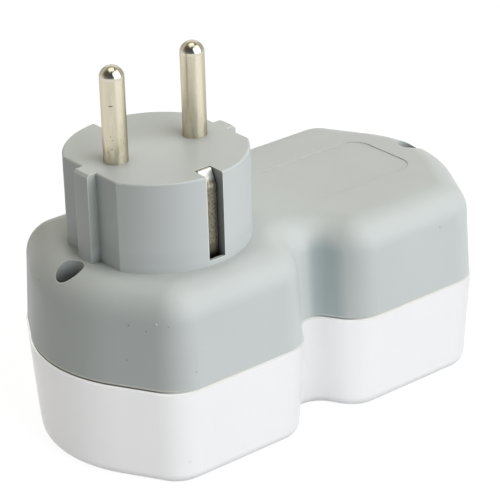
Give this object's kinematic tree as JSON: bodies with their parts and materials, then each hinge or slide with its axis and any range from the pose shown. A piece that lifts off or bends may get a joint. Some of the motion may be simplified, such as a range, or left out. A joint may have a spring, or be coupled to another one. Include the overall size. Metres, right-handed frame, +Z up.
{
  "type": "multi socket adapter",
  "caption": "Wall plug adapter that splits one earthed outlet: grey rear housing with a round two-pin plug on one lobe, white front housing with round socket recesses behind it.",
  "frame": {"origin": "middle of the socket face that the adapter stands on, halfway between the two lobes", "axes": "+Z up along the plug pins, +X along the length from the plug's lobe to the other one, +Y across"},
  "size_m": [0.0978, 0.0514, 0.078],
  "materials": {
    "grey_plastic": "satin moulded grey plastic with a cool tint",
    "white_plastic": "smooth white moulded plastic",
    "nickel_plate": "nickel plate, drawn along the pin, slightly worn",
    "brass": "plain rolled brass",
    "earth_plate": "dull plated sheet",
    "screw_steel": "zinc-plated steel"
  },
  "bodies": {
    "root": {"rear_housing": "grey_plastic", "front_housing": "white_plastic", "line_pin": "nickel_plate", "neutral_pin": "nickel_plate", "line_busbar": "brass", "neutral_busbar": "brass", "line_contact_a": "brass", "line_contact_b": "brass", "neutral_contact_a": "brass", "neutral_contact_b": "brass", "line_rivet": "brass", "neutral_rivet": "brass", "earth_frame_a": "earth_plate", "earth_frame_b": "earth_plate", "earth_link": "earth_plate", "earth_link_rivet_a": "brass", "earth_link_rivet_b": "brass", "plug_earth_strip_back": "earth_plate", "plug_earth_strip_front": "earth_plate", "plug_earth_rivet_back": "brass", "plug_earth_rivet_front": "brass", "housing_screw_left": "screw_steel", "housing_screw_right": "screw_steel"}
  },
  "joints": []
}
